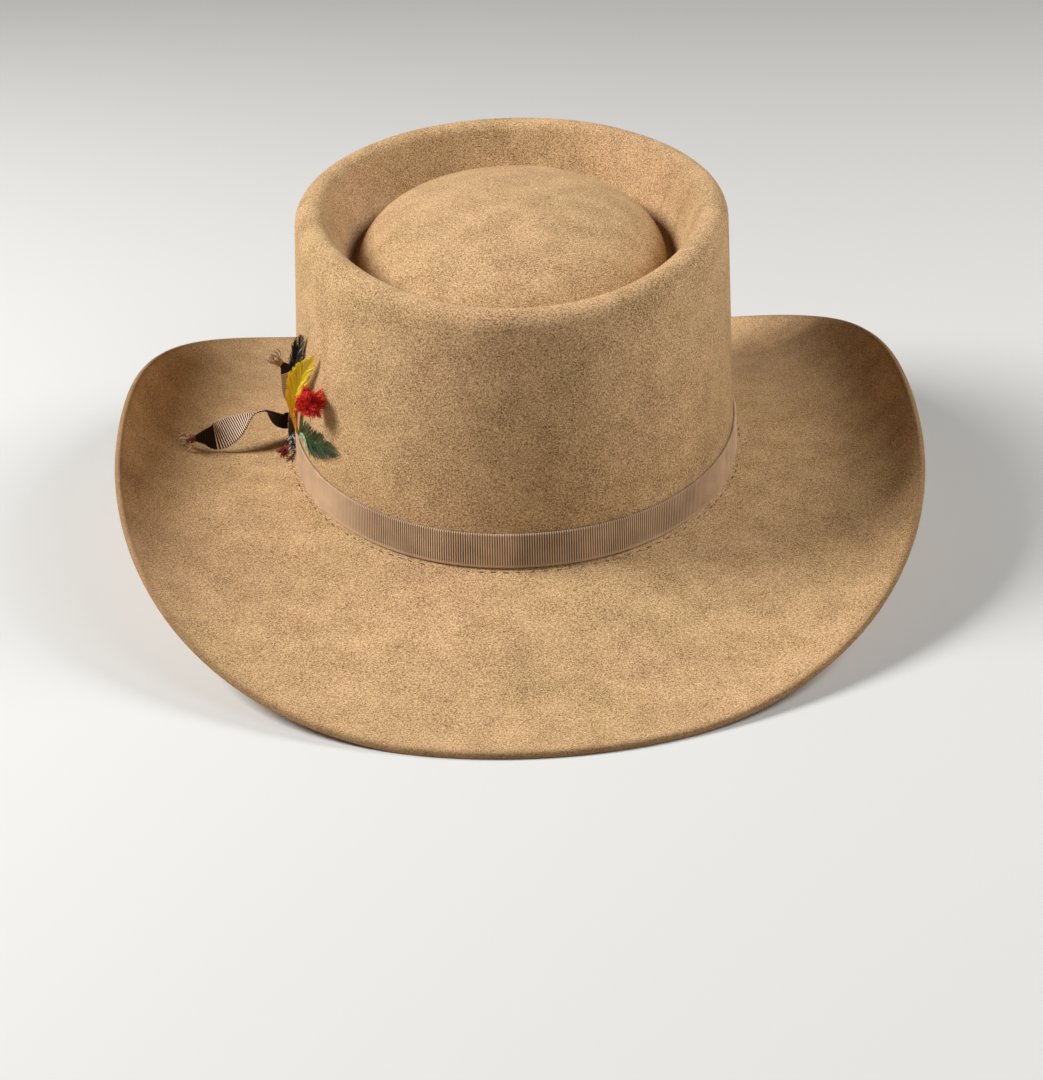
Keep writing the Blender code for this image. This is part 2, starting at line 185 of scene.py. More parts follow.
def crown_rows(angles):
    """Rows of the crown's inner face, from above the foot of the wall to the last one of the dome."""
    crest = crest_height(angles)
    foot = break_height(angles) + BREAK_RADIUS
    top = crest - ROLL_RADIUS
    rows = [wall_points(angles, BREAK_RADIUS + (top - foot) * step / WALL_STEPS)
            for step in range(1, WALL_STEPS + 1)]
    lean = np.array((CROWN_LEAN, 0, 0))

    def ring(inset, z):
        return raised(oval(angles, inset)[0] + lean, z)

    for step in range(1, ROLL_STEPS + 1):
        turned = math.radians(180 - ROLL_TURN * step / ROLL_STEPS)
        inset = CROWN_TAPER + ROLL_RADIUS * (1 + math.cos(turned))
        rows.append(ring(inset, top + ROLL_RADIUS * math.sin(turned)))
    down, up = math.radians(ROLL_TURN - 90), math.radians(DOME_FOOT_PITCH)
    floor = CROWN_HEIGHT - GROOVE_DEPTH + GROOVE_FOLLOW * (crest - CROWN_HEIGHT)
    for step in range(GROOVE_STEPS + 1):
        heading = -down + (down + up) * step / GROOVE_STEPS
        inset = CROWN_TAPER + GROOVE_RUN + GROOVE_RADIUS * (math.sin(down) + math.sin(heading))
        rows.append(ring(inset, floor + GROOVE_RADIUS * (1 - math.cos(heading))))
    foot_row = rows[-1] - lean
    for step in range(1, DOME_STEPS):
        turned = math.pi / 2 * step / DOME_STEPS
        row = foot_row * (math.cos(turned), math.cos(turned), 1) + lean
        row[:, 2] += (DOME_TOP - row[:, 2]) * math.sin(turned)
        rows.append(row)
    return rows


angles = np.arange(AROUND) * 2 * math.pi / AROUND
felt_rows = np.array(brim_rows(angles)[::-1] + crown_rows(angles))
LIFT = -felt_rows[..., 2].min() - PRESS
rim_middle = (felt_rows[0].min(axis=0) + felt_rows[0].max(axis=0)) / 2
CENTRE = np.array((*rim_middle[:2], -LIFT))


def placed(points):
    """Points of the hat moved to where the brim lies on the floor, about the origin."""
    moved = np.asarray(points) - CENTRE
    moved[..., 2] = np.maximum(moved[..., 2], 0)
    return moved


def link(name, data):
    """An object with its data, in the scene and shaded smooth if it is a mesh."""
    if isinstance(data, bpy.types.Mesh):
        data.shade_smooth()
    made = bpy.data.objects.new(name, data)
    bpy.context.scene.collection.objects.link(made)
    return made


def grid_object(name, rows, across_closed=False, ends=(None, None), attributes=None):
    """A sheet through rows of points that each run round, closed at end points or last row to first."""
    count, around = rows.shape[:2]
    points = rows.reshape(-1, 3).tolist()
    number = np.arange(count * around).reshape(count, around)
    if across_closed:
        number = np.concatenate((number, number[:1]))
    after = np.roll(number, -1, axis=1)
    faces = np.stack((number[:-1], after[:-1], after[1:], number[1:]), axis=-1).reshape(-1, 4).tolist()
    for end, near, far in zip(ends, (after[0], number[-1]), (number[0], after[-1])):
        if end is not None:
            faces += [(low, high, len(points)) for low, high in zip(near.tolist(), far.tolist())]
            points.append(list(end))
    mesh = bpy.data.meshes.new(name)
    mesh.from_pydata(points, [], faces)
    for key, values in (attributes or {}).items():
        values = np.broadcast_to(values, (count, around)).astype(float)
        at_ends = [values[row].mean() for row, end in zip((0, -1), ends) if end is not None]
        mesh.attributes.new(key, "FLOAT", "POINT").data.foreach_set("value", np.append(values, at_ends))
    return link(name, mesh)


def colour(code):
    """The linear colour of an sRGB hex value."""
    parts = [int(code[start:start + 2], 16) / 255 for start in (1, 3, 5)]
    return [part / 12.92 if part <= 0.04045 else ((part + 0.055) / 1.055) ** 2.4 for part in parts] + [1]


def set_inputs(node, inputs):
    """Gives a node's inputs their values, or links them to the outputs of other nodes."""
    for key, value in inputs.items():
        if isinstance(value, bpy.types.NodeSocket):
            node.id_data.links.new(value, node.inputs[key])
        else:
            node.inputs[key].default_value = value


def add_node(tree, kind, inputs=(), stops=(), **settings):
    """A node with its settings and inputs; stops are the positions and sRGB colours of a ramp."""
    made = tree.nodes.new(kind)
    for key, value in settings.items():
        setattr(made, key, value)
    set_inputs(made, dict(inputs))
    for number, (position, code) in enumerate(stops):
        elements = made.color_ramp.elements
        element = elements[number] if number < len(elements) else elements.new(1.0)
        element.position = position
        element.color = colour(code)
    return made


def new_material(name):
    """A material with its node tree and its main shader."""
    made = bpy.data.materials.new(name)
    made.use_nodes = True
    return made, made.node_tree, made.node_tree.nodes["Principled BSDF"]


def fur_felt():
    """Brushed fur felt: matte, soft at grazing light, with a fine grain of lighter and darker fibres."""
    made, tree, shader = new_material("fur_felt")
    place = add_node(tree, "ShaderNodeTexCoord").outputs["Object"]
    drift = add_node(tree, "ShaderNodeTexNoise", {"Vector": place, "Scale": 1 / DRIFT_SIZE, "Detail": 2.0})
    dye = add_node(tree, "ShaderNodeValToRGB", {"Fac": drift.outputs[0]},
                   ((0.35, "#FFF8F4"), (0.65, "#F7F4EA")))
    # The nap's fibres are far finer; their tufts show as a grain of half a millimetre
    grain = add_node(tree, "ShaderNodeTexNoise",
                     {"Vector": place, "Scale": 1 / TUFT_SIZE, "Detail": 1.5, "Roughness": 0.6,
                      "Distortion": 0.4})
    patchy = add_node(tree, "ShaderNodeTexNoise", {"Vector": place, "Scale": 1 / PATCH_SIZE, "Detail": 2.0})
    eased = add_node(tree, "ShaderNodeMath", {0: patchy.outputs[0], 1: PATCH_TONE, 2: -PATCH_TONE / 2},
                     operation="MULTIPLY_ADD")
    tone = add_node(tree, "ShaderNodeMath", {0: grain.outputs[0], 1: eased.outputs[0]}, operation="ADD")
    speckle = add_node(tree, "ShaderNodeValToRGB", {"Fac": tone.outputs[0]},
                       ((0.28, "#765836"), (0.72, "#EDC99C")))
    dyed = add_node(tree, "ShaderNodeMix", {0: 1.0, 6: speckle.outputs["Color"], 7: dye.outputs["Color"]},
                    data_type="RGBA", blend_type="MULTIPLY")
    rim = add_node(tree, "ShaderNodeAttribute", attribute_name="rim")
    worn = add_node(tree, "ShaderNodeMix", {0: rim.outputs["Fac"], 6: dyed.outputs[2], 7: colour("#7A5A3A")},
                    data_type="RGBA")
    bump = add_node(tree, "ShaderNodeBump",
                    {"Height": grain.outputs[0], "Strength": 0.5, "Distance": TUFT_HEIGHT})
    set_inputs(shader, {"Base Color": worn.outputs[2], "Normal": bump.outputs[0], "Roughness": 0.95,
                        "Specular IOR Level": 0.1, "Sheen Weight": 0.15, "Sheen Roughness": 0.5,
                        "Sheen Tint": colour("#E8C79A")})
    return made


def waved(rows):
    """The felt's slow unevenness, up or down by a fraction of a millimetre."""
    moved = rows.copy()
    for index in np.ndindex(rows.shape[:2]):
        moved[index][2] += WAVE_HEIGHT * noise.noise(Vector(rows[index]) / WAVE_SIZE)
    return moved


from_rim = np.arange(len(felt_rows))[:, None] * BRIM_WIDTH / BRIM_STEPS
felt = grid_object("felt", placed(waved(felt_rows)), ends=(None, placed((CROWN_LEAN, 0, DOME_TOP))),
                   attributes={"rim": RIM_WEAR_TONE * np.exp(-from_rim / RIM_WEAR)})
felt.data.materials.append(fur_felt())
wall = felt.modifiers.new("felt thickness", "SOLIDIFY")
wall.thickness = FELT
wall.offset = 1
wall.use_even_offset = True
edge = felt.modifiers.new("cut edge", "BEVEL")
edge.width = RIM_ROUNDING
edge.segments = 2
edge.limit_method = "ANGLE"
edge.angle_limit = math.radians(CUT_EDGE_ANGLE)
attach(felt, "root")
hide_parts("felt_body")

# Sweatband. A strip of dark leather inside the crown, sewn to the felt along its lower edge.
# Made as a closed strip round the foot of the crown's wall, inside the felt.
SWEATBAND_LOW = 0.002
SWEATBAND_WIDTH = 0.034
SWEATBAND = 0.0012
SWEATBAND_SPOTS = (0, 0.02, 0.25, 0.5, 0.75, 0.98, 1)
PORE_SIZE = 0.0014
PORE_DEPTH = 0.0003
STAIN_SIZE = 0.02


def strip_section(low, width, thickness, out, spots):
    """Rows of a strip round the wall, up its outer face and down its inner one, at shares of its width."""
    outer = [wall_points(angles, low + width * spot, out) for spot in spots]
    inner = [wall_points(angles, low + width * spot, out - thickness) for spot in reversed(spots)]
    return np.array(outer + inner)


def leather():
    """Vegetable-tanned leather: dark brown, fine pebbled grain, a dull polish from wear."""
    made, tree, shader = new_material("sweatband_leather")
    place = add_node(tree, "ShaderNodeTexCoord").outputs["Object"]
    pores = add_node(tree, "ShaderNodeTexVoronoi", {"Vector": place, "Scale": 1 / PORE_SIZE})
    stain = add_node(tree, "ShaderNodeTexNoise", {"Vector": place, "Scale": 1 / STAIN_SIZE, "Detail": 4.0})
    tone = add_node(tree, "ShaderNodeValToRGB", {"Fac": stain.outputs[0]},
                    ((0.35, "#4A3120"), (0.7, "#6E4C33")))
    bump = add_node(tree, "ShaderNodeBump",
                    {"Height": pores.outputs["Distance"], "Strength": 0.4, "Distance": PORE_DEPTH})
    set_inputs(shader, {"Base Color": tone.outputs["Color"], "Normal": bump.outputs[0], "Roughness": 0.5})
    return made


sweat_rows = strip_section(SWEATBAND_LOW, SWEATBAND_WIDTH, SWEATBAND, -GAP, SWEATBAND_SPOTS)
sweatband = grid_object("sweatband_leather", placed(sweat_rows), across_closed=True)
sweatband.data.materials.append(leather())
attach(sweatband, "root")
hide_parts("sweatband")

# Ribbon. Narrow grosgrain round the base of the crown, woven with ribs across it and a cord along its foot.
# Made as a strip in fine steps whose ribs are raised by Geometry Nodes from its length in metres.
RIBBON_LOW = 0.0034
RIBBON_WIDTH = 0.0124
RIBBON = 0.0010
RIB_PITCH = 0.00085
RIB_HEIGHT = 0.00028
STEPS_TO_A_RIB = 4
RIBBON_BODY = 0.0006
# Section of the ribbon: share of the width, share of the edge cord's rise, share of the ribs' height
RIBBON_SPOTS = (
    dict(across=0.00, cord=0.0, ribs=0.0),
    dict(across=0.02, cord=0.9, ribs=0.1),
    dict(across=0.05, cord=1.0, ribs=0.2),
    dict(across=0.08, cord=0.3, ribs=0.5),
    *(dict(across=spot, cord=0.0, ribs=1.0)
      for spot in (0.12, 0.24, 0.36, 0.50, 0.64, 0.76, 0.88, 0.95, 0.98)),
    dict(across=1.00, cord=-0.6, ribs=1.0),
)
# The back has its two edges and its middle
BACK_SPOTS = (RIBBON_SPOTS[-1], RIBBON_SPOTS[7], RIBBON_SPOTS[0])
EDGE_CORD = 0.00018
# Near the knot the ribs are lowered and their painted shading fades to the smooth tone: a pale even stretch
# painted as sheen.
SMOOTH_FROM, FLAT_FROM, FLAT_TO = -5, 34, 52
FLAT_RIBS = 0.15
# Diagonal fold by the knot: its height, and in degrees where it starts, how far it runs and its spread
FOLD_HEIGHT = 0.00035
FOLD_FROM, FOLD_RUN, FOLD_SPREAD = 6, 26, 2.2
# Tone of the cloth where it has no ribs, between a valley's and a ridge's, and the ribs' height on the back
SMOOTH_TONE = 0.62
BACK_RIBS = 0.9
WEAR_SIZE = 0.012
WEAR_TONE = 0.5
WEAVE_SIZE = 0.0004
WEAVE_HEIGHT = 0.0001


def new_tree(name, sizes):
    """A Geometry Nodes tree with named inputs; returns it with its two ends."""
    tree = bpy.data.node_groups.new(name, "GeometryNodeTree")
    tree.interface.new_socket("Geometry", in_out="INPUT", socket_type="NodeSocketGeometry")
    for key, kind in sizes.items():
        tree.interface.new_socket(key, in_out="INPUT", socket_type=kind)
    tree.interface.new_socket("Geometry", in_out="OUTPUT", socket_type="NodeSocketGeometry")
    return tree, tree.nodes.new("NodeGroupInput"), tree.nodes.new("NodeGroupOutput")


def rib_tree():
    """Raises round ribs along the normals, spaced by the point attribute called along, and stores their
    painted shading.
    """
    tree, given, result = new_tree("ribs", {"Rib pitch": "NodeSocketFloat", "Rib height": "NodeSocketFloat",
                                            "Material": "NodeSocketMaterial"})
    along = add_node(tree, "GeometryNodeInputNamedAttribute", {"Name": "along"}, data_type="FLOAT")
    relief = add_node(tree, "GeometryNodeInputNamedAttribute", {"Name": "relief"}, data_type="FLOAT")
    ribs = add_node(tree, "ShaderNodeMath", {0: along.outputs[0], 1: given.outputs["Rib pitch"]},
                    operation="DIVIDE")
    turn = add_node(tree, "ShaderNodeMath", {0: ribs.outputs[0], 1: math.pi}, operation="MULTIPLY")
    wave = add_node(tree, "ShaderNodeMath", {0: turn.outputs[0]}, operation="SINE")
    top = add_node(tree, "ShaderNodeMath", {0: wave.outputs[0], 1: wave.outputs[0]}, operation="MULTIPLY")
    eased = add_node(tree, "ShaderNodeMath", {0: top.outputs[0], 1: relief.outputs[0]}, operation="MULTIPLY")
    rise = add_node(tree, "ShaderNodeMath", {0: eased.outputs[0], 1: given.outputs["Rib height"]},
                    operation="MULTIPLY")
    normal = add_node(tree, "GeometryNodeInputNormal")
    offset = add_node(tree, "ShaderNodeVectorMath", {0: normal.outputs[0], "Scale": rise.outputs[0]},
                      operation="SCALE")
    # Painted shading of the ribs: dark in the valleys, pale on the ridges, the smooth tone where there are
    # none.
    smooth = add_node(tree, "ShaderNodeMath", {0: relief.outputs[0], 1: -SMOOTH_TONE, 2: SMOOTH_TONE},
                      operation="MULTIPLY_ADD")
    shown = add_node(tree, "ShaderNodeMath", {0: eased.outputs[0], 1: smooth.outputs[0]}, operation="ADD")
    kept = add_node(tree, "GeometryNodeStoreNamedAttribute",
                    {"Geometry": given.outputs["Geometry"], "Name": "rib_shading", "Value": shown.outputs[0]},
                    data_type="FLOAT")
    moved = add_node(tree, "GeometryNodeSetPosition",
                     {"Geometry": kept.outputs[0], "Offset": offset.outputs[0]})
    finish = add_node(tree, "GeometryNodeSetMaterial",
                      {"Geometry": moved.outputs[0], "Material": given.outputs["Material"]})
    set_inputs(result, {0: finish.outputs[0]})
    return tree


def baked(name, source):
    """The plain mesh that a source object shows, which takes the object's place."""
    bpy.context.view_layer.update()
    mesh = bpy.data.meshes.new_from_object(source.evaluated_get(bpy.context.evaluated_depsgraph_get()))
    mesh.name = name
    bpy.data.objects.remove(source, do_unlink=True)
    return link(name, mesh)


def grown(name, source, tree, values):
    """The plain mesh that a Geometry Nodes tree makes from a source object."""
    modifier = source.modifiers.new(tree.name, "NODES")
    modifier.node_group = tree
    for item in tree.interface.items_tree:
        if item.in_out == "INPUT" and item.name in values:
            modifier[item.identifier] = values[item.name]
    return baked(name, source)


def grosgrain(name, ridge, valley):
    """Ribbed ribbon, soft and silky: a painted highlight on the ridges and painted shade in the valleys
    between them.
    """
    made, tree, shader = new_material(name)
    rib_shading = add_node(tree, "ShaderNodeAttribute", attribute_name="rib_shading")
    place = add_node(tree, "ShaderNodeTexCoord").outputs["Object"]
    wear = add_node(tree, "ShaderNodeTexNoise", {"Vector": place, "Scale": 1 / WEAR_SIZE, "Detail": 3.0})
    tone = add_node(tree, "ShaderNodeMath", {0: wear.outputs[0], 1: WEAR_TONE, 2: -WEAR_TONE / 2},
                    operation="MULTIPLY_ADD")
    share = add_node(tree, "ShaderNodeMath", {0: rib_shading.outputs["Fac"], 1: tone.outputs[0]},
                     operation="ADD", use_clamp=True)
    mix = add_node(tree, "ShaderNodeMix", {0: share.outputs[0], 6: colour(valley), 7: colour(ridge)},
                   data_type="RGBA")
    weave = add_node(tree, "ShaderNodeTexNoise", {"Vector": place, "Scale": 1 / WEAVE_SIZE, "Detail": 1.0})
    bump = add_node(tree, "ShaderNodeBump",
                    {"Height": weave.outputs[0], "Strength": 0.25, "Distance": WEAVE_HEIGHT})
    set_inputs(shader, {"Base Color": mix.outputs[2], "Normal": bump.outputs[0], "Roughness": 0.55,
                        "Specular IOR Level": 0.35, "Sheen Weight": 0.3, "Sheen Tint": colour("#E2C3B0")})
    return made


RIBS = rib_tree()
TAUPE = grosgrain("grosgrain_taupe", "#EAC49C", "#20110A")
ribbon_line = placed(wall_points(angles, RIBBON_LOW, FELT))
ribbon_length = np.linalg.norm(ribbon_line - np.roll(ribbon_line, -1, axis=0), axis=1).sum()
rib_count = round(ribbon_length / RIB_PITCH)
ribbon_angles = np.arange(rib_count * STEPS_TO_A_RIB) * 2 * math.pi / (rib_count * STEPS_TO_A_RIB)
ribbon_centre = wall_points(ribbon_angles, RIBBON_LOW, FELT)
steps = np.linalg.norm(np.diff(ribbon_centre, axis=0, append=ribbon_centre[:1]), axis=1)
ribbon_along = np.concatenate(([0], np.cumsum(steps)[:-1]))
turned_back = np.degrees(ribbon_angles) - 180
flatness = np.clip((turned_back - FLAT_FROM) / (FLAT_TO - FLAT_FROM), 0, 1)
near_knot = (turned_back > SMOOTH_FROM) & (turned_back < FLAT_TO)
rib_share = np.where(near_knot, FLAT_RIBS + (1 - FLAT_RIBS) * flatness, 1)
section, relief = [], []
for spot in RIBBON_SPOTS:
    height = RIBBON_LOW + RIBBON_WIDTH * spot["across"]
    fold = FOLD_HEIGHT * np.exp(-((turned_back - FOLD_FROM - FOLD_RUN * spot["across"]) / FOLD_SPREAD) ** 2)
    proud = FELT + GAP + RIBBON_BODY + EDGE_CORD * spot["cord"] + fold
    section.append(wall_points(ribbon_angles, height, proud))
    relief.append(rib_share * spot["ribs"])
for spot in BACK_SPOTS:
    section.append(wall_points(ribbon_angles, RIBBON_LOW + RIBBON_WIDTH * spot["across"], FELT + GAP))
    relief.append(rib_share * BACK_RIBS)
strip = grid_object("strip", placed(np.array(section)), across_closed=True,
                    attributes={"along": ribbon_along, "relief": relief})
exact_pitch = float(steps.sum()) / rib_count
ribbon = grown("ribbon", strip, RIBS, {"Rib pitch": exact_pitch, "Rib height": RIB_HEIGHT, "Material": TAUPE})
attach(ribbon, "root")
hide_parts("hat_band")

# Knot and tails. The ribbon is tied at the hat's left side; its taupe face is ribbed, painted shade darkens
# its back.
# Made as strips through a short plan of places and twists, in steps fine enough for the ribs.
# The plans give places as shares of a tail's length, widths as shares of the ribbon's, twists in degrees.
KNOT_TURN = -3.0
KNOT_LENGTH = 0.0085
KNOT_DEPTH = 0.0022
KNOT_WIDTH = 0.0090
OVER_RIBBON = GAP + RIBBON + GAP
TAIL = 0.0007
LONG_TAIL = 0.038
LONG_TAIL_PLAN = dict(
    out=(0.00, 0.08, 0.19, 0.31, 0.44, 0.58, 0.72, 0.83, 0.95),
    back=(0.00, 0.01, 0.03, 0.06, 0.09, 0.13, 0.17, 0.21, 0.25),
    up=(0.010, 0.022, 0.120, 0.120, 0.040, -0.045, -0.105, -0.100, -0.105),
    width=(0.58, 0.62, 0.72, 0.82, 0.84, 0.88, 0.86, 0.50, 0.12),
    twist=(82, 70, 27, 20, -12, -50, -70, -84, -96),
)
# Share of the long tail's length where its front is pale; its root and pinched tip are painted dark as shade.
LONG_LIT_SPAN = (0.32, 0.765)
SHORT_TAIL = 0.022
SHORT_TAIL_PLAN = dict(
    out=(0.00, 0.02, 0.04, 0.05, 0.11, 0.20),
    back=(0.00, -0.01, -0.02, -0.03, -0.04, -0.04),
    up=(0.00, 0.20, 0.42, 0.66, 0.80, 0.88),
    width=(0.40, 0.42, 0.46, 0.48, 0.32, 0.10),
    twist=(0, 60, 88, 92, 92, 90),
)
# Share of the short tail's length where its front is pale; its folded end is painted dark as shade.
SHORT_LIT_SPAN = (0.0, 0.66)
TAIL_STEPS = 48
KNOT_POWER = 0.4
KNOT_ROUND = 20
TAIL_RIB_PITCH = 0.00084
TAIL_BACK_RIBS = 0.5


def on_side(turn, height, out):
    """Points on the crown's left side with the directions out of it, back along it and up it."""
    around = math.pi + np.radians(np.atleast_1d(turn).astype(float))
    level_out = oval(around, 0.0)[1]
    up = unit(wall_points(around, height + RIBBON_WIDTH) - wall_points(around, height - RIBBON_WIDTH))
    back = unit(np.cross(up, level_out))
    outwards = np.cross(back, up)
    place = placed(wall_points(around, height, FELT)) + outwards * np.asarray(out)[..., None]
    return place, outwards, back, up


def smoothed(plan, steps):
    """A plan's measures with smooth values between its own ones."""
    last = len(next(iter(plan.values()))) - 1
    spots = np.linspace(0, last, last * steps + 1)
    low = np.clip(spots.astype(int), 0, last - 1)
    share = spots - low
    made = {}
    for key, measures in plan.items():
        values = np.array(measures)
        before, start = values[np.maximum(low - 1, 0)], values[low]
        end, after = values[low + 1], values[np.minimum(low + 2, last)]
        made[key] = (start * (2 * share ** 3 - 3 * share ** 2 + 1)
                     + (end - before) / 2 * (share ** 3 - 2 * share ** 2 + share)
                     + end * (3 * share ** 2 - 2 * share ** 3)
                     + (after - start) / 2 * (share ** 3 - share ** 2))
    return made


def tail(name, plan, length, start, directions, finish, ribs, facing, pale):
    """A twisted strip of ribbon from a start point; its ribbed front is pale over part of its length, painted
    shade elsewhere.
    """
    outwards, back, up = directions
    table = smoothed(plan, TAIL_STEPS)
    ways = {"out": outwards, "back": back, "up": up}
    spine = start + sum(table[key][:, None] * way for key, way in ways.items()) * length
    along = unit(np.gradient(spine, axis=0))
    twist = np.radians(table["twist"])[:, None]
    level = unit(back - along * (along * back).sum(axis=1, keepdims=True))
    side = level * np.cos(twist) + np.cross(along, level) * np.sin(twist)
    face = np.cross(along, side)
    half = RIBBON_WIDTH * table["width"][:, None] / 2
    run = np.concatenate(([0], np.cumsum(np.linalg.norm(np.diff(spine, axis=0), axis=1))))
    share = np.linspace(0, 1, len(spine))
    # Outside this span the front, like the back, is painted dark as shade.
    shown = (share >= pale[0]) & (share < pale[1])
    columns, relief, front = [], [], []
    for spot in RIBBON_SPOTS[::-facing]:
        proud = TAIL / 4 + EDGE_CORD * spot["cord"] / 2
        columns.append(spine + side * half * (spot["across"] * 2 - 1) + face * facing * proud)
        relief.append(spot["ribs"])
        front.append(1)
    for spot in BACK_SPOTS[::-facing]:
        columns.append(spine + side * half * (spot["across"] * 2 - 1) - face * facing * TAIL / 4)
        relief.append(spot["ribs"] * TAIL_BACK_RIBS)
        front.append(0)
    values = {"along": run[:, None], "relief": relief, "front": np.outer(shown, front)}
    strip = grid_object("strip", np.array(columns).transpose(1, 0, 2), ends=(spine[0], spine[-1]),
                        attributes=values)
    made = grown(name, strip, RIBS,
                 {"Rib pitch": TAIL_RIB_PITCH, "Rib height": RIB_HEIGHT * ribs, "Material": finish})
    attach(made, "root")
    return made, spine[-1], along[-1]


def tail_ribbon(name, ridge, valley):
    """The same ribbon on both faces: pale ribs on part of its front, painted shade near black behind and on
    the rest.
    """
    made, tree, shader = new_material(name)
    rib_shading, front = (add_node(tree, "ShaderNodeAttribute", attribute_name=key).outputs["Fac"]
                  for key in ("rib_shading", "front"))
    lit = add_node(tree, "ShaderNodeValToRGB", {"Fac": rib_shading}, ((0.45, valley), (0.75, ridge)))
    both = add_node(tree, "ShaderNodeMix", {0: front, 6: colour("#2A1410"), 7: lit.outputs["Color"]},
                    data_type="RGBA")
    set_inputs(shader, {"Base Color": both.outputs[2], "Roughness": 0.6, "Specular IOR Level": 0.25})
    return made


ribbon_middle = RIBBON_LOW + RIBBON_WIDTH / 2
start, *directions = on_side(KNOT_TURN, ribbon_middle, OVER_RIBBON + KNOT_DEPTH + GAP)
RIBBED_TAIL = tail_ribbon("tail_ribbon_ribbed", "#F0D0B4", "#2A1410")
long_tail, long_tip, long_way = tail(
    "ribbon_tail_long", LONG_TAIL_PLAN, LONG_TAIL, start, directions, RIBBED_TAIL,
    ribs=1.0, facing=1, pale=LONG_LIT_SPAN)
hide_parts("tail_long")
start, *directions = on_side(KNOT_TURN, ribbon_middle + KNOT_WIDTH / 2 + GAP, OVER_RIBBON + KNOT_DEPTH / 2)
SMOOTH_TAIL = tail_ribbon("tail_ribbon_smooth", "#D0B08C", "#B08E68")
short_tail, short_tip, short_way = tail(
    "ribbon_tail_short", SHORT_TAIL_PLAN, SHORT_TAIL, start, directions, SMOOTH_TAIL,
    ribs=0.2, facing=-1, pale=SHORT_LIT_SPAN)
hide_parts("tail_short")

knot_place, outwards, back, up = on_side(KNOT_TURN, ribbon_middle, OVER_RIBBON + KNOT_DEPTH / 2)
over = np.linspace(-math.pi / 2, math.pi / 2, KNOT_ROUND * 3)[1:-1, None]
about = (np.arange(KNOT_ROUND * 2) * math.pi / KNOT_ROUND)[None, :]
girth = signed_power(np.cos(over), KNOT_POWER) / 2
wide = girth * signed_power(np.cos(about), KNOT_POWER) * KNOT_DEPTH
deep = girth * signed_power(np.sin(about), KNOT_POWER) * KNOT_LENGTH
tall = signed_power(np.sin(over), KNOT_POWER) * np.ones_like(about) * KNOT_WIDTH / 2
knot_rows = knot_place + wide[..., None] * outwards + deep[..., None] * back + tall[..., None] * up
knot_ends = [knot_place[0] + way * up[0] * KNOT_WIDTH / 2 for way in (-1, 1)]
strip = grid_object("strip", knot_rows, ends=knot_ends,
                    attributes={"along": tall + KNOT_WIDTH, "relief": 1.0})
# The knot is the taupe ribbon coloured dark: painted shade where it lies behind the feathers.
SHADED_GROSGRAIN = grosgrain("grosgrain_painted_shade", "#4A2E22", "#1E100C")
knot = grown("ribbon_knot_wrap", strip, RIBS,
             {"Rib pitch": RIB_PITCH, "Rib height": RIB_HEIGHT, "Material": SHADED_GROSGRAIN})
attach(knot, "root")
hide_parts("ribbon_knot")

# Ties. Each tail is drawn to a point and whipped with thread, and its warp threads fray out beyond it.
# Made as a thread wound round the end, and loose strands set by Geometry Nodes on its tip.
TIE_TURNS = 5
TIE_STEPS = 14
TIE_RADIUS = 0.0014
TIE_LENGTH = 0.0030
TIE_THREAD = 0.00038
# Shares of the whipping: its radius at the ends, its length over the tail, and where the frays start
TIE_END = 0.75
TIE_OVERLAP = 0.25
FRAY_FROM = 0.6
FRAY_COUNT = 16
FRAY_REACH = 0.0040
FRAY_LEAST = 0.45
STRAND_SEGMENTS = 5
TWIST_SIZE = 0.0007


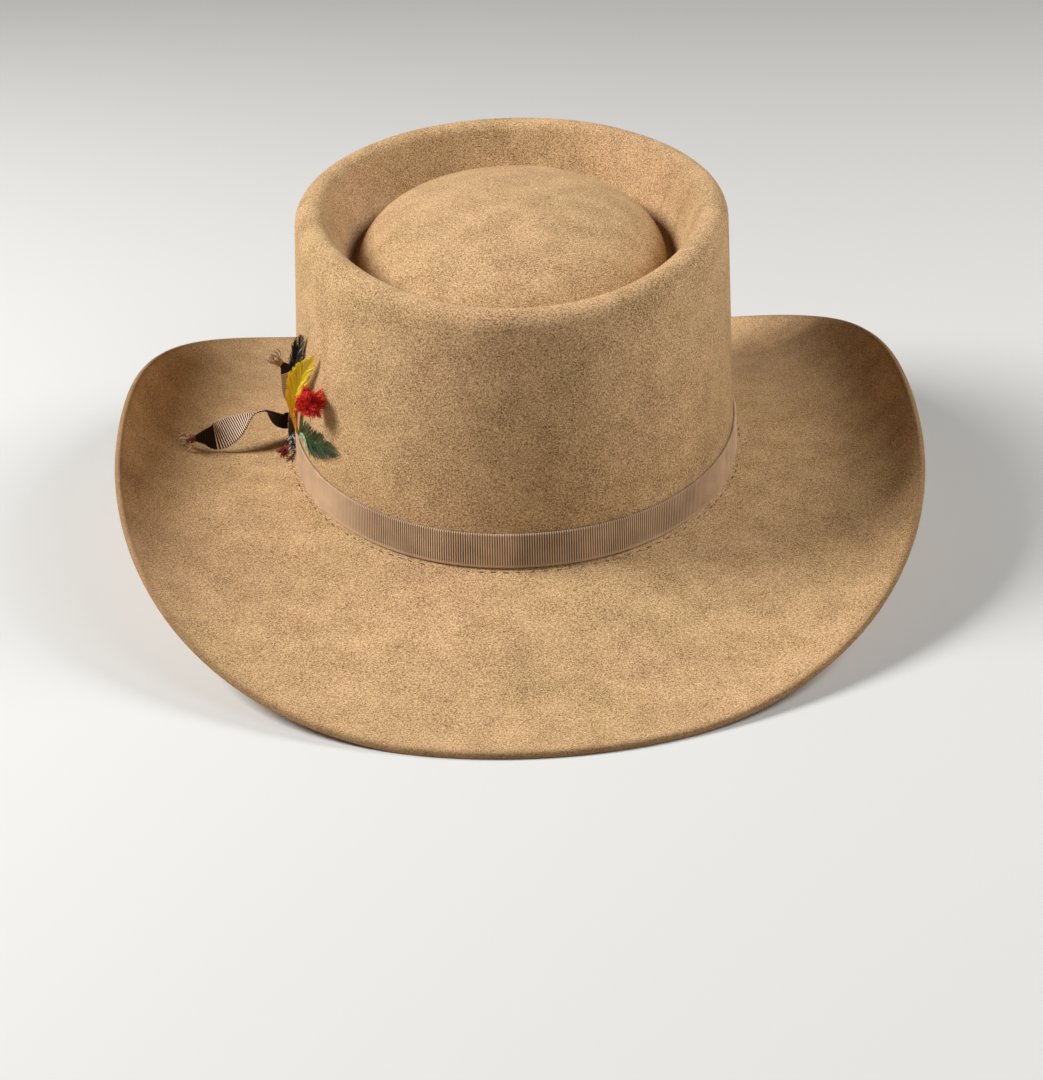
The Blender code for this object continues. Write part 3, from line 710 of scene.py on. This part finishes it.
def strand_tree():
    """Sets a curved, tapered strand on each point, along its direction and as long as its reach."""
    sizes = {"Slenderness": "NodeSocketFloat", "Bend": "NodeSocketFloat", "Tip": "NodeSocketFloat",
             "Stray": "NodeSocketFloat", "Seed": "NodeSocketInt", "Material": "NodeSocketMaterial"}
    tree, given, result = new_tree("strands", sizes)
    bow = add_node(tree, "ShaderNodeCombineXYZ", {"X": 0.5, "Y": given.outputs["Bend"]})
    line = add_node(tree, "GeometryNodeCurveQuadraticBezier",
                    {"Resolution": STRAND_SEGMENTS, "Start": (0, 0, 0), "Middle": bow.outputs[0],
                     "End": (1, 0, 0)})
    spline = add_node(tree, "GeometryNodeSplineParameter")
    taper = add_node(tree, "ShaderNodeMapRange",
                     {"Value": spline.outputs["Factor"], "To Min": 1.0, "To Max": given.outputs["Tip"]})
    tapered = add_node(tree, "GeometryNodeSetCurveRadius",
                       {"Curve": line.outputs[0], "Radius": taper.outputs[0]})
    thick = add_node(tree, "GeometryNodeCurvePrimitiveCircle",
                     {"Resolution": 3, "Radius": given.outputs["Slenderness"]})
    strand = add_node(tree, "GeometryNodeCurveToMesh",
                      {"Curve": tapered.outputs[0], "Profile Curve": thick.outputs[0], "Fill Caps": True})
    direction, facing, reach = (
        add_node(tree, "GeometryNodeInputNamedAttribute", {"Name": key}, data_type=kind)
        for key, kind in (("direction", "FLOAT_VECTOR"), ("facing", "FLOAT_VECTOR"), ("reach", "FLOAT")))
    turned = add_node(tree, "FunctionNodeAxesToRotation", {0: direction.outputs[0], 1: facing.outputs[0]},
                      primary_axis="X", secondary_axis="Z")
    least = add_node(tree, "ShaderNodeMath", {0: given.outputs["Stray"], 1: -1.0}, operation="MULTIPLY")
    stray = add_node(tree, "FunctionNodeRandomValue",
                     {0: least.outputs[0], 1: given.outputs["Stray"], "Seed": given.outputs["Seed"]},
                     data_type="FLOAT_VECTOR")
    tone = add_node(tree, "FunctionNodeRandomValue", {"Seed": given.outputs["Seed"]}, data_type="FLOAT")
    set_out = add_node(tree, "GeometryNodeInstanceOnPoints",
                       {"Points": given.outputs["Geometry"], "Instance": strand.outputs[0],
                        "Rotation": turned.outputs[0], "Scale": reach.outputs[0]})
    strayed = add_node(tree, "GeometryNodeRotateInstances",
                       {"Instances": set_out.outputs[0], "Rotation": stray.outputs[0]})
    toned = add_node(tree, "GeometryNodeStoreNamedAttribute",
                     {"Geometry": strayed.outputs[0], "Name": "tone", "Value": tone.outputs[1]},
                     data_type="FLOAT", domain="INSTANCE")
    whole = add_node(tree, "GeometryNodeRealizeInstances", {"Geometry": toned.outputs[0]})
    finish = add_node(tree, "GeometryNodeSetMaterial",
                      {"Geometry": whole.outputs[0], "Material": given.outputs["Material"]})
    set_inputs(result, {0: finish.outputs[0]})
    return tree


def strands(name, points, directions, facing, reach, shade, values, finish):
    """Strands on points, each with its own direction, facing, reach and shade from 0 to 1."""
    mesh = bpy.data.meshes.new("strand points")
    mesh.from_pydata([list(point) for point in points], [], [])
    for key, vectors in (("direction", directions), ("facing", facing)):
        layer = mesh.attributes.new(key, "FLOAT_VECTOR", "POINT")
        layer.data.foreach_set("vector", np.asarray(vectors, dtype=float).ravel())
    for key, numbers in (("reach", reach), ("shade", shade)):
        spread = np.broadcast_to(np.asarray(numbers, dtype=float), (len(points),))
        mesh.attributes.new(key, "FLOAT", "POINT").data.foreach_set("value", spread)
    return grown(name, link("strand points", mesh), STRANDS, {**values, "Material": finish})


def thread(name, light, dark):
    """Twisted silk and cotton thread: soft, slightly glossy, a little uneven in tone."""
    made, tree, shader = new_material(name)
    place = add_node(tree, "ShaderNodeTexCoord").outputs["Object"]
    tone = add_node(tree, "ShaderNodeTexNoise", {"Vector": place, "Scale": 1 / TWIST_SIZE, "Detail": 1.0})
    mix = add_node(tree, "ShaderNodeMix", {0: tone.outputs[0], 6: colour(dark), 7: colour(light)},
                   data_type="RGBA")
    set_inputs(shader, {"Base Color": mix.outputs[2], "Roughness": 0.6})
    return made


def tie(name, tip, way, wound, loose, spread, seed):
    """The whipping round a tail's end and the threads that fray out of it."""
    way = Vector(way).normalized()
    side = way.orthogonal().normalized()
    over = way.cross(side)
    steps = TIE_TURNS * TIE_STEPS
    coil = bpy.data.curves.new(name, "CURVE")
    coil.dimensions = "3D"
    coil.bevel_depth = TIE_THREAD
    coil.bevel_resolution = 2
    coil.use_fill_caps = True
    line = coil.splines.new("POLY")
    line.points.add(steps)
    for step, point in enumerate(line.points):
        turned = 2 * math.pi * step / TIE_STEPS
        radius = TIE_RADIUS * (TIE_END + (1 - TIE_END) * math.sin(math.pi * step / steps))
        place = (Vector(tip) + way * TIE_LENGTH * (step / steps - TIE_OVERLAP)
                 + (side * math.cos(turned) + over * math.sin(turned)) * radius)
        point.co = (*place, 1)
    coil.materials.append(wound)
    source = link(name, coil)
    draw = random.Random(seed)
    points, directions, facing, reach = [], [], [], []
    for _ in range(FRAY_COUNT):
        aside = side * draw.gauss(0, spread) + over * draw.gauss(0, spread)
        points.append(Vector(tip) + way * TIE_LENGTH * FRAY_FROM + aside * TIE_RADIUS / 2)
        directions.append((way + aside).normalized())
        facing.append(way.cross(aside))
        reach.append(FRAY_REACH * (FRAY_LEAST + (1 - FRAY_LEAST) * draw.random()))
    frays = strands(name + "_frays", points, directions, facing, reach, 0,
                    dict(Slenderness=0.09, Bend=0.7, Tip=0.6, Stray=0.3, Seed=seed), loose)
    for made in (baked(name, source), frays):
        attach(made, "root")


STRANDS = strand_tree()
RED_THREAD = thread("thread_red_brown", "#9A4632", "#4A1A10")
TAN_THREAD = thread("thread_tan", "#D0B088", "#80603C")
tie("ribbon_tie_long", long_tip, long_way, RED_THREAD, TAN_THREAD, spread=0.9, seed=21)
tie("ribbon_tie_short", short_tip, short_way, TAN_THREAD, TAN_THREAD, spread=0.5, seed=22)

# Stitches. Dark thread that holds the sweatband, seen as short dashes in the felt just below the ribbon.
# Made as one arched stitch, set by Geometry Nodes all round on both faces of the felt.
STITCH_PITCH = 0.0046
STITCH_REACH = 0.0021
STITCH_SINK = 0.0001
STITCH_BEND = 0.15
STITCH_OUT = 0.0010


def stitch_rows(count):
    """Places of the stitches on the felt's inner face, with the ways along them and out of the felt."""
    around = (np.arange(count) + 0.5) * 2 * math.pi / count
    rows = [placed(row) for row in brim_rows(around)[BREAK_STEPS - 1:BREAK_STEPS + 2]]
    along = unit(np.roll(rows[1], -1, axis=0) - np.roll(rows[1], 1, axis=0))
    out = unit(np.cross(along, rows[0] - rows[2]))
    out *= np.sign(out[:, 2:])
    return rows[1] + unit(rows[2] - rows[1]) * STITCH_OUT, along, out


stitch_count = round(ribbon_length / STITCH_PITCH)
stitch_place, stitch_along, stitch_out = stitch_rows(stitch_count)
DARK_THREAD = thread("thread_dark", "#6E5238", "#2C1C10")
places = np.concatenate([stitch_place + stitch_out * depth for depth in (FELT - STITCH_SINK, STITCH_SINK)])
headings = np.tile(stitch_along, (2, 1))
places -= headings * STITCH_REACH / 2
facing = np.cross(headings, np.concatenate((stitch_out, -stitch_out)))
stitches = strands("sweatband_stitches", places, headings, facing, STITCH_REACH, 0,
                   dict(Slenderness=0.08, Bend=STITCH_BEND, Tip=0.8, Stray=0.12, Seed=31),
                   DARK_THREAD)
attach(stitches, "root")

# Feathers. Each has a quill and barbs that lean along it; they stand over the ribbon, close to the crown.
# Made as one curved, tapered barb, set by Geometry Nodes on points along the quill.
# The plans give degrees round from the left side, then rise, half width and distance out of the crown as
# shares of the length, and the blade's tilt in degrees.
FEATHER_STEPS = 14
VANE = 0.0008
LOCK_BARBS = 9
BARB_LEAST = 0.0006
BARB_SCATTER = 0.6
# How far the barbs' lean and length vary from lock to lock and from barb to barb, as shares
LEAN_LEAST, LEAN_BY_LOCK, LEAN_BY_BARB = 0.85, 0.2, 0.1
LOCK_NOTCH, BARB_NOTCH = 0.16, 0.08
QUILL_SIDES = 6
QUILL_TIP = 0.3
QUILL_OUT = 0.4
BARS = 6
TONE_SPREAD = 0.25
YELLOW_FEATHER = 0.048
YELLOW_PLAN = dict(
    turn=(10.0, 12.5, 16.0, 19.8, 23.8, 27.5, 29.5),
    rise=(0.00, 0.16, 0.34, 0.52, 0.70, 0.85, 0.94),
    half=(0.025, 0.055, 0.080, 0.098, 0.095, 0.060, 0.020),
    out=(0.000, 0.028, 0.042, 0.052, 0.052, 0.038, 0.024),
    tilt=(20, 30, 34, 34, 34, 32, 30),
)
BLACK_FEATHER = 0.050
BLACK_PLAN = dict(
    turn=(5.5, 8.0, 11.5, 15.5, 19.0, 21.5),
    rise=(0.00, 0.20, 0.43, 0.65, 0.84, 0.95),
    half=(0.020, 0.040, 0.052, 0.060, 0.056, 0.020),
    out=(0.000, 0.018, 0.024, 0.028, 0.024, 0.016),
    tilt=(20, 30, 34, 34, 30, 30),
)
GREEN_FEATHER = 0.045
GREEN_PLAN = dict(
    turn=(12.5, 17.0, 23.0, 29.6, 35.0, 39.0),
    rise=(0.02, 0.14, 0.19, 0.25, 0.29, 0.31),
    half=(0.02, 0.07, 0.11, 0.12, 0.08, 0.02),
)
BARRED_FEATHER = 0.013
BARRED_PLAN = dict(
    turn=(5.5, 6.5, 8.0, 9.5),
    rise=(-0.10, -0.35, -0.60, -0.82),
    half=(0.05, 0.14, 0.14, 0.05),
)


def vane(name, shades):
    """Feather barbs: a soft dull gloss, coloured by each barb's shade, with a tone of its own."""
    made, tree, shader = new_material(name)
    tone, shade = (add_node(tree, "ShaderNodeAttribute", attribute_name=key).outputs["Fac"]
                   for key in ("tone", "shade"))
    spread = add_node(tree, "ShaderNodeMath", {0: tone, 1: TONE_SPREAD, 2: -TONE_SPREAD / 2},
                      operation="MULTIPLY_ADD")
    mix = add_node(tree, "ShaderNodeMath", {0: spread.outputs[0], 1: shade}, operation="ADD")
    ramp = add_node(tree, "ShaderNodeValToRGB", {"Fac": mix.outputs[0]}, shades)
    set_inputs(shader, {"Base Color": ramp.outputs["Color"], "Roughness": 0.55, "Specular IOR Level": 0.3,
                        "Sheen Weight": 0.1})
    return made


def feather(name, node, plan, length, out, shade_of, finish, values, lean, barbs, quill=0.0):
    """Barbs on both sides of a quill along the crown, as wide as the plan says, ending at its tip."""
    foot = RIBBON_LOW + RIBBON_WIDTH + GAP
    table = smoothed(plan, FEATHER_STEPS)
    spots = np.linspace(0, 1, barbs)
    run = np.linspace(0, 1, len(table["turn"]))
    turn, rise, half, stand, tilt = (np.interp(spots, run, table.get(key, run * 0))
                                     for key in ("turn", "rise", "half", "out", "tilt"))
    place, outwards, _, _ = on_side(turn, foot + rise * length, out + VANE / 2 + stand * length)
    along = unit(np.gradient(place, axis=0))
    across = unit(np.cross(outwards, along))
    tilt = np.radians(tilt)[:, None]
    side = across * np.cos(tilt) + unit(np.cross(along, across)) * np.sin(tilt)
    face = np.cross(side, along)
    travelled = np.append(0, np.cumsum(np.linalg.norm(np.diff(place, axis=0), axis=1)))
    draw = random.Random(len(name))
    points, directions, facing, reach, shades = [], [], [], [], []
    for way in (-1, 1):
        for number in range(barbs):
            if number % LOCK_BARBS == 0:
                lock = draw.random()
            pitch = math.radians(lean * (LEAN_LEAST + LEAN_BY_LOCK * lock + LEAN_BY_BARB * draw.random()))
            ahead = travelled[number:] - travelled[number]
            outside = np.flatnonzero(ahead * math.tan(pitch) >= half[number:] * length)
            longest = ahead[outside[0] if len(outside) else -1] / math.cos(pitch)
            points.append(place[number] + face[number] * VANE * (draw.random() - 0.5) * BARB_SCATTER)
            directions.append(along[number] * math.cos(pitch) + side[number] * way * math.sin(pitch))
            facing.append(face[number] * way)
            short = (1 - LOCK_NOTCH + LOCK_NOTCH * lock) * (1 - BARB_NOTCH + BARB_NOTCH * draw.random())
            reach.append(max(longest * short, BARB_LEAST))
            shades.append(shade_of(spots[number], way, draw))
    made = strands(name, points, directions, facing, reach, shades, values, finish)
    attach(made, "root")
    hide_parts(node)
    if quill:
        about = np.arange(QUILL_SIDES) * 2 * math.pi / QUILL_SIDES
        shaft = np.linspace(quill, quill * QUILL_TIP, barbs)[:, None, None]
        rings = (place + face * VANE * QUILL_OUT)[:, None] + shaft * (
            side[:, None] * np.cos(about)[None, :, None] + face[:, None] * np.sin(about)[None, :, None])
        rod = grid_object(name + "_quill", rings[:, ::-1], ends=rings[[0, -1]].mean(axis=1),
                          attributes={"shade": shade_of(0.0, 0, draw), "tone": 0.5})
        rod.data.materials.append(finish)
        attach(rod, "root")


def yellow_shade(spot, way, draw):
    """Clear yellow, orange at the base, with rust red barbs among those of the back side low down."""
    if way < 0 and 0.06 < spot < 0.40 and draw.random() < 0.6:
        return draw.uniform(-0.1, 0.1)
    return min(1.0, 0.42 + spot * 1.1 + draw.uniform(-0.06, 0.06))


def black_shade(spot, way, draw):
    """Blue black, with a few barbs painted pale on the side that faces the light: painted glints."""
    return 1.0 if way < 0 and spot > 0.3 and draw.random() < 0.16 else draw.uniform(0, 0.3)


def green_shade(spot, way, draw):
    """A pale shaft and pale lower barbs near the base, dark green towards the tip and along the top."""
    if way == 0:
        return 1.0
    if way > 0:
        return 0.45 - 0.2 * spot + draw.uniform(-0.15, 0.1)
    return (0.85 if spot < 0.3 else 0.12) + draw.uniform(-0.1, 0.15)


def barred_shade(spot, way, draw):
    return 1.0 if int(spot * BARS) % 2 and draw.random() < 0.5 else 0.0


yellow_vane = vane("yellow_vane", ((0.0, "#B0260A"), (0.35, "#F09A04"), (0.6, "#FFD406"), (1.0, "#FFE830")))
# The pale end of the black ramp is the painted glint on a few barbs.
black_vane = vane("black_vane", ((0.0, "#06060A"), (0.5, "#14141E"), (1.0, "#A4A4B0")))
green_vane = vane("green_vane", ((0.0, "#142E10"), (0.3, "#2C5A1E"), (0.5, "#78844A"), (0.8, "#B0C4A0")))
barred_vane = vane("barred_vane", ((0.0, "#0C0C10"), (0.4, "#1A1A20"), (1.0, "#D8D8DC")))
feather("feather_black", "black_feather", BLACK_PLAN, BLACK_FEATHER, GAP, black_shade,
        black_vane, dict(Slenderness=0.012, Bend=0.06, Tip=0.1, Stray=0.05, Seed=3), lean=14, barbs=180,
        quill=0.00025)
feather("feather_green", "green_feather", GREEN_PLAN, GREEN_FEATHER, GAP, green_shade,
        green_vane, dict(Slenderness=0.012, Bend=0.08, Tip=0.15, Stray=0.08, Seed=5), lean=26, barbs=150,
        quill=0.0004)
feather("feather_yellow", "yellow_feather", YELLOW_PLAN, YELLOW_FEATHER, GAP, yellow_shade,
        yellow_vane, dict(Slenderness=0.009, Bend=0.05, Tip=0.15, Stray=0.025, Seed=7), lean=15, barbs=260,
        quill=0.0003)
feather("feather_barred", "barred_feather", BARRED_PLAN, BARRED_FEATHER, OVER_RIBBON,
        barred_shade, barred_vane, dict(Slenderness=0.04, Bend=0.3, Tip=0.3, Stray=0.6, Seed=9), lean=30,
        barbs=60)

# Hackles. Two tufts of red fluff, one beside the yellow feather and a small one on the brim by the ribbon.
# Made as strands that start near a middle and stand out on all sides, in clumps.
HACKLE_RADIUS = 0.0042
HACKLE_TURN = 32.5
HACKLE_RISE = 0.0465
HACKLE_BARBS = 2400
LOCK_REACH = 0.30
TUFT_HEART = 0.35
TUFT_REACH = 0.6
TUFT_UNEVEN = 0.3
TUFT_LEAN = 0.5
TUFT_CLUMPS = 1.9
RED_TIP_RADIUS = 0.0020
RED_TIP_TURN = 5.2
RED_TIP_OUT = 0.0055
RED_TIP_BARBS = 500


def tuft(name, node, turn, height, out, radius, count, lean, finish, values):
    """Fluff: fine curled barbs that start near the middle, stand out on all sides, and lean one way."""
    place, outwards, back, up = (vector[0] for vector in on_side(turn, height, out))
    draw = random.Random(count)
    bias = outwards * lean["out"] + back * lean["back"] + up * lean["up"]
    heading = unit(bias)
    points, directions, facing, reach, shades = [], [], [], [], []
    for _ in range(count):
        way = np.array([draw.gauss(0, 1) for _ in range(3)])
        way = unit(unit(way) + bias)
        points.append(place + (way * draw.random() - heading) * radius * TUFT_HEART)
        directions.append(way)
        facing.append(np.cross(way, [draw.gauss(0, 1) for _ in range(3)]))
        clump = noise.noise(Vector(way) * TUFT_CLUMPS + Vector(place) / radius)
        even = TUFT_REACH + TUFT_UNEVEN * draw.random()
        reach.append(radius * (even + clump + TUFT_LEAN * max(0, way @ heading) ** 2))
        shades.append(draw.random())
    made = strands(name, points, directions, facing, reach, shades, values, finish)
    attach(made, "root")
    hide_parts(node)


red_fluff = vane("red_fluff", ((0.0, "#C00006"), (0.5, "#F01408"), (1.0, "#FF5030")))
dark_fluff = vane("dark_red_fluff", ((0.0, "#6A060C"), (0.5, "#A01C20"), (1.0, "#D07058")))
tuft("hackle", "red_hackle", HACKLE_TURN, HACKLE_RISE, GAP + HACKLE_RADIUS * (1 + LOCK_REACH), HACKLE_RADIUS,
     HACKLE_BARBS, dict(out=0.1, back=0.35, up=0.2), red_fluff,
     dict(Slenderness=0.018, Bend=0.35, Tip=0.2, Stray=0.1, Seed=11))
tuft("hackle_small", "red_tip", RED_TIP_TURN, FELT + GAP + RED_TIP_RADIUS, RED_TIP_OUT, RED_TIP_RADIUS,
     RED_TIP_BARBS, dict(out=0.2, back=0.1, up=0.0), dark_fluff,
     dict(Slenderness=0.03, Bend=0.3, Tip=0.3, Stray=0.1, Seed=13))

# Floor and light. A pale matt floor, two soft lamps like windows at the sides, and a weak third one.
# Made as one wide square, and as round lamps that shine at the hat in a dim room.
FLOOR_SIZE = 30.0
LAMP_SIZE = 0.6
LAMP_AIM = Vector((0, 0, 0.05))
floor_mesh = bpy.data.meshes.new("floor")
half = FLOOR_SIZE / 2
corners = [(-half, -half, 0), (half, -half, 0), (half, half, 0), (-half, half, 0)]
floor_mesh.from_pydata(corners, [], [(0, 1, 2, 3)])
floor = link("floor", floor_mesh)
floor_finish, _, floor_shader = new_material("pale_floor")
set_inputs(floor_shader, {"Base Color": colour("#D6D5D2"), "Roughness": 0.8})
floor_mesh.materials.append(floor_finish)


def area_light(name, place, power):
    data = bpy.data.lights.new(name, "AREA")
    data.shape = "DISK"
    data.size = LAMP_SIZE
    data.energy = power
    made = link(name, data)
    made.location = place
    made.rotation_euler = (LAMP_AIM - Vector(place)).to_track_quat("-Z", "Y").to_euler()


area_light("window_left", (-1.15, 0.0, 1.01), 28.5)
area_light("window_right", (1.15, 0.0, 1.01), 12)
area_light("fill_right", (0.81, -0.81, 1.01), 3.5)
world = bpy.data.worlds.new("room")
world.use_nodes = True
set_inputs(world.node_tree.nodes["Background"], {"Color": colour("#F2F2F0"), "Strength": 0.055})
bpy.context.scene.world = world
